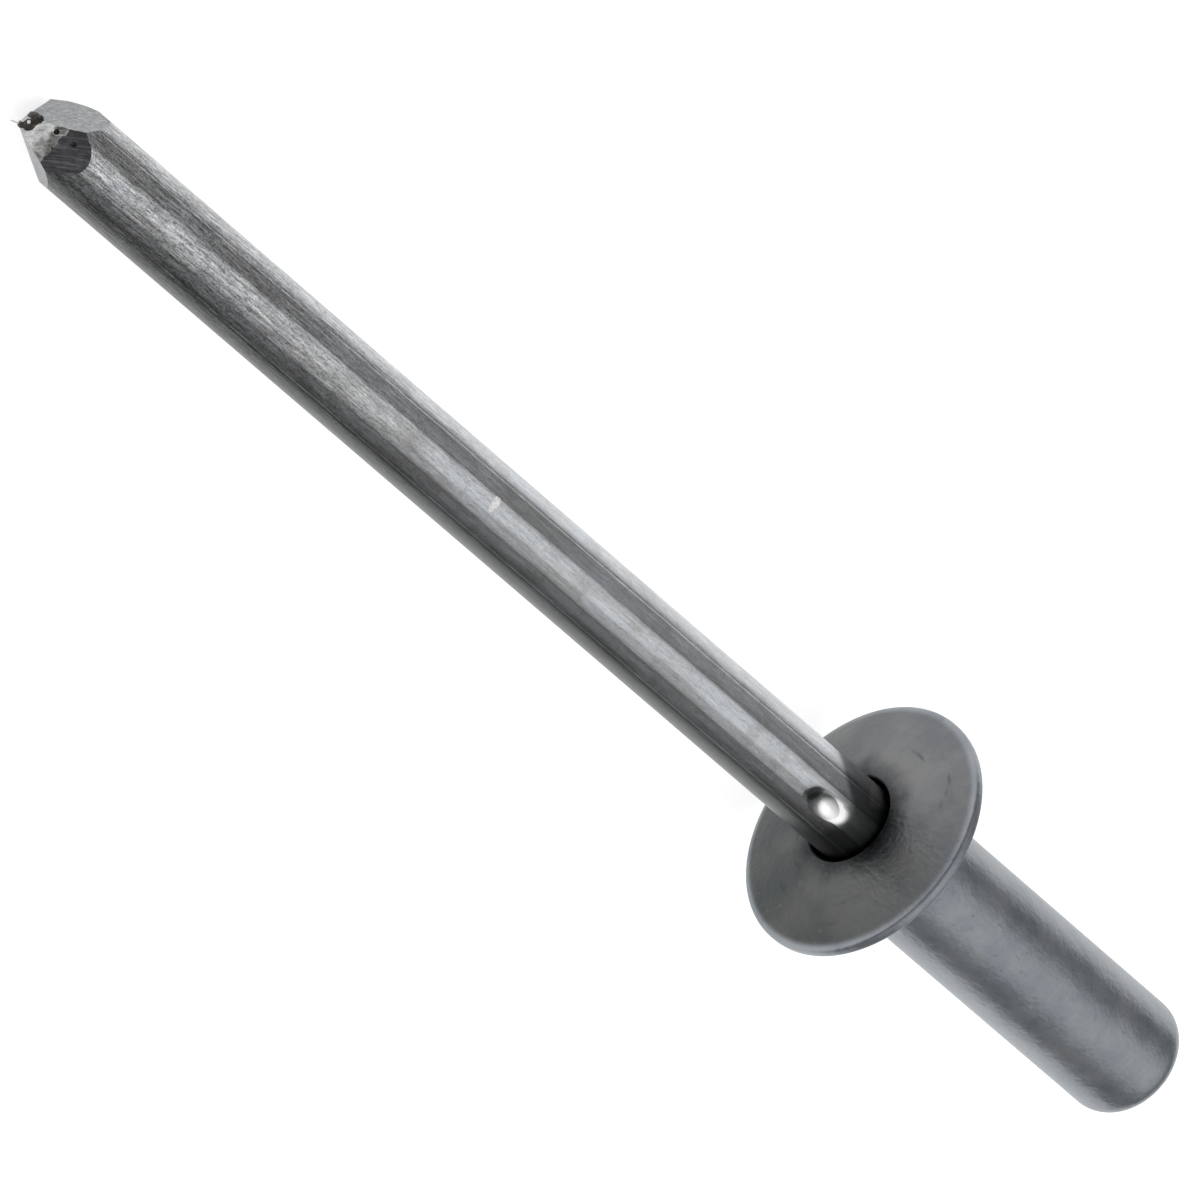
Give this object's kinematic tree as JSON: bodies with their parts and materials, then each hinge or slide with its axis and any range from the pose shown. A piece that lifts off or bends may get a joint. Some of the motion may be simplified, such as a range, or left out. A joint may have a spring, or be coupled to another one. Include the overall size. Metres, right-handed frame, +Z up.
{
  "type": "closed-end blind rivet",
  "caption": "Closed-end blind rivet: a drawn steel cup with a low domed flange, trapped on a fluted steel mandrel with a pinched point, lying at rest.",
  "frame": {"origin": "bottom centre of the box round the whole rivet as it lies on flat ground", "axes": "+X from the mandrel's point towards the closed end, +Z up; the rivet's own axis rises towards the closed end by about 4 degrees"},
  "size_m": [0.0456, 0.0066, 0.0067],
  "materials": {
    "cup_steel": "dull, tumbled, slightly mottled",
    "drawn_wire": "bright drawn, with fine scratches along its length"
  },
  "bodies": {
    "root": {"rivet_body": "cup_steel", "mandrel": "drawn_wire"}
  },
  "joints": []
}
